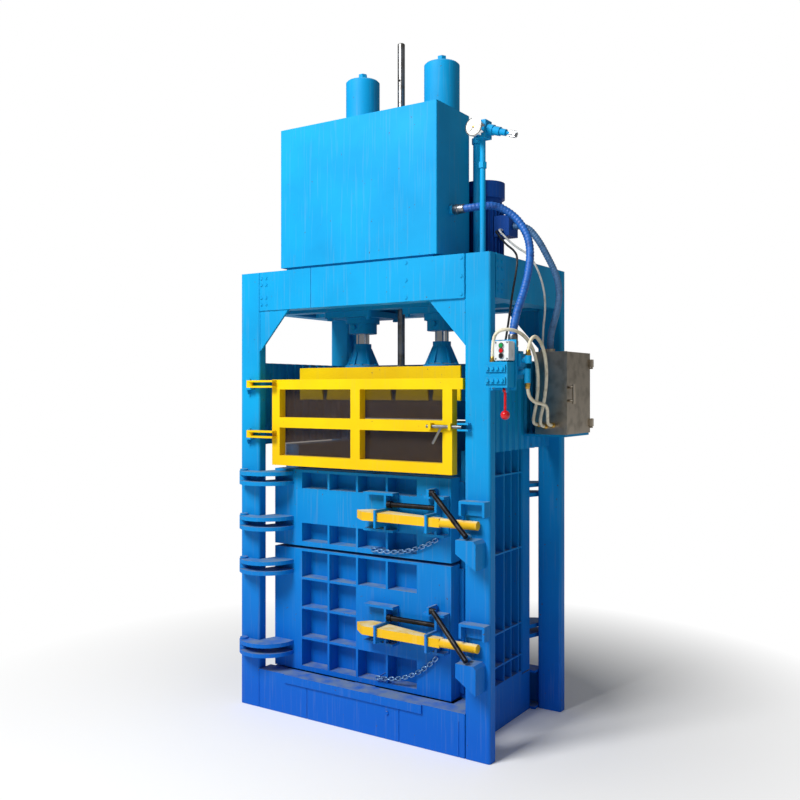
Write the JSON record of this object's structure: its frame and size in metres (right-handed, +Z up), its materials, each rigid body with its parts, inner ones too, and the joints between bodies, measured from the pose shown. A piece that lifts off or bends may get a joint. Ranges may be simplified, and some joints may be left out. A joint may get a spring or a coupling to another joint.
{
  "type": "recycling baler",
  "caption": "Vertical press with two overhead cylinders, a feed gate, hinged bale doors with lever locks, an oil tank and side controls.",
  "frame": {"origin": "on the floor, at the middle of the four columns, on the underside of the middle base beam", "axes": "+Z up, +X to the operator's right, -Y out of the front of the machine"},
  "size_m": [1.6685, 1.0202, 3.443],
  "materials": {
    "blue_paint": "satin blue enamel over welded steel",
    "yellow_paint": "satin yellow enamel over welded steel",
    "chrome": "hard chromed and ground",
    "bright_steel": "drawn bar, lightly oiled",
    "stainless": "brushed stainless sheet",
    "dark_steel": "black oiled steel bar",
    "smoked_sheet": "smoked polycarbonate sheet",
    "motor_paint": "dark blue enamel on cast iron",
    "hose_rubber": "rubber hose in a blue spiral wrap",
    "wrap": "grey-blue wrapped conduit",
    "cream_conduit": "cream flexible conduit",
    "box_plastic": "light grey moulded plastic",
    "green_plastic": "moulded green plastic",
    "red_plastic": "moulded red plastic",
    "black_plastic": "moulded black plastic",
    "gauge_case": "plated case with a white dial"
  },
  "bodies": {
    "frame": {"base_front_beam": "blue_paint", "base_rear_beam": "blue_paint", "base_side_beams": "blue_paint", "button_box": "box_plastic", "cabinet": "stainless", "chamber_floor": "blue_paint", "chamber_left_wall": "blue_paint", "chamber_right_wall": "blue_paint", "column_front_left": "blue_paint", "column_front_right": "blue_paint", "column_rear_left": "blue_paint", "column_rear_right": "blue_paint", "conduits": "cream_conduit", "control_bracket": "blue_paint", "corner_gussets": "blue_paint", "cross_beams": "blue_paint", "cylinder_left": "blue_paint", "cylinder_right": "blue_paint", "floor_strips": "blue_paint", "hinge_lugs": "blue_paint", "lock_brackets": "blue_paint", "manifold": "blue_paint", "motor": "motor_paint", "oil_tank": "blue_paint", "pressure_gauge": "gauge_case", "pressure_hose": "hose_rubber", "pump": "blue_paint", "relief_stack": "blue_paint", "side_guards": "blue_paint", "top_front_beam": "blue_paint", "top_rear_beam": "blue_paint", "top_side_beams": "blue_paint", "valve": "blue_paint", "wrapped_hose": "wrap"},
    "press": {"platen": "blue_paint", "platen_bars": "blue_paint", "platen_front_plate": "yellow_paint", "piston_rods": "chrome", "guide_rod": "bright_steel"},
    "gate": {"gate_frame": "yellow_paint", "gate_panel": "smoked_sheet"},
    "gate_bolt": {"gate_bolt": "bright_steel"},
    "upper_door": {"upper_door": "blue_paint", "upper_tie_rod": "dark_steel", "upper_chain": "blue_paint"},
    "upper_lever": {"upper_lock_lever": "yellow_paint"},
    "upper_bar": {"upper_lock_bar": "dark_steel"},
    "lower_door": {"lower_door": "blue_paint", "lower_tie_rod": "dark_steel", "lower_chain": "blue_paint"},
    "lower_lever": {"lower_lock_lever": "yellow_paint"},
    "lower_bar": {"lower_lock_bar": "dark_steel"},
    "rear_door": {"rear_door": "blue_paint"},
    "rear_lever": {"rear_lock_lever": "yellow_paint"},
    "valve_lever": {"valve_lever": "red_plastic"},
    "start_button": {"start_button": "green_plastic"},
    "stop_button": {"stop_button": "red_plastic"},
    "jog_button": {"jog_button": "black_plastic"},
    "cabinet_door": {"cabinet_door": "stainless"},
    "relief_knob": {"relief_knob": "chrome"}
  },
  "joints": [
    {"name": "platen_slide", "type": "slide", "parent": "frame", "child": "press", "axis": [0, 0, -1], "range_m": [0, 1.1]},
    {"name": "gate_hinge", "type": "hinge", "parent": "frame", "child": "gate", "pos_m": [-0.655, -0.437, 1.54], "axis": [0, 0, -1], "range_deg": [0, 110]},
    {"name": "gate_bolt_slide", "type": "slide", "parent": "gate", "child": "gate_bolt", "axis": [-1, 0, 0], "range_m": [0, 0.03]},
    {"name": "cabinet_door_hinge", "type": "hinge", "parent": "frame", "child": "cabinet_door", "pos_m": [0.895, 0.3765, 1.63], "axis": [0, 0, 1], "range_deg": [0, 120]},
    {"name": "relief_adjuster", "type": "hinge", "parent": "frame", "child": "relief_knob", "pos_m": [0.79283, -0.335, 2.77506], "axis": [0.9511, 0, -0.309], "range_deg": [-180, 180]},
    {"name": "valve_lever_swing", "type": "hinge", "parent": "frame", "child": "valve_lever", "pos_m": [0.822, -0.445, 1.64], "axis": [1, 0, 0], "range_deg": [-18, 18], "stiffness_Nm_per_rad": 3},
    {"name": "upper_door_hinge", "type": "hinge", "parent": "frame", "child": "upper_door", "pos_m": [-0.69, -0.4425, 1.045], "axis": [0, 0, -1], "range_deg": [0, 110]},
    {"name": "upper_lever_slide", "type": "slide", "parent": "upper_door", "child": "upper_lever", "axis": [-1, 0, 0], "range_m": [0, 0.11]},
    {"name": "upper_bar_swing", "type": "hinge", "parent": "upper_door", "child": "upper_bar", "pos_m": [0.43, -0.4, 1.17], "axis": [-1, 0, 0], "range_deg": [0, 55]},
    {"name": "lower_door_hinge", "type": "hinge", "parent": "frame", "child": "lower_door", "pos_m": [-0.69, -0.4425, 0.505], "axis": [0, 0, -1], "range_deg": [0, 110]},
    {"name": "lower_lever_slide", "type": "slide", "parent": "lower_door", "child": "lower_lever", "axis": [-1, 0, 0], "range_m": [0, 0.11]},
    {"name": "lower_bar_swing", "type": "hinge", "parent": "lower_door", "child": "lower_bar", "pos_m": [0.43, -0.4, 0.63], "axis": [-1, 0, 0], "range_deg": [0, 55]},
    {"name": "rear_door_hinge", "type": "hinge", "parent": "frame", "child": "rear_door", "pos_m": [0.69, 0.4425, 0.8], "axis": [0, 0, -1], "range_deg": [0, 110]},
    {"name": "rear_lever_slide", "type": "slide", "parent": "rear_door", "child": "rear_lever", "axis": [1, 0, 0], "range_m": [0, 0.11]},
    {"name": "start_button_press", "type": "slide", "parent": "frame", "child": "start_button", "axis": [0, 1, 0], "range_m": [0, 0.004], "stiffness_N_per_m": 400},
    {"name": "stop_button_press", "type": "slide", "parent": "frame", "child": "stop_button", "axis": [0, 1, 0], "range_m": [0, 0.004], "stiffness_N_per_m": 400},
    {"name": "jog_button_press", "type": "slide", "parent": "frame", "child": "jog_button", "axis": [0, 1, 0], "range_m": [0, 0.004], "stiffness_N_per_m": 400}
  ]
}
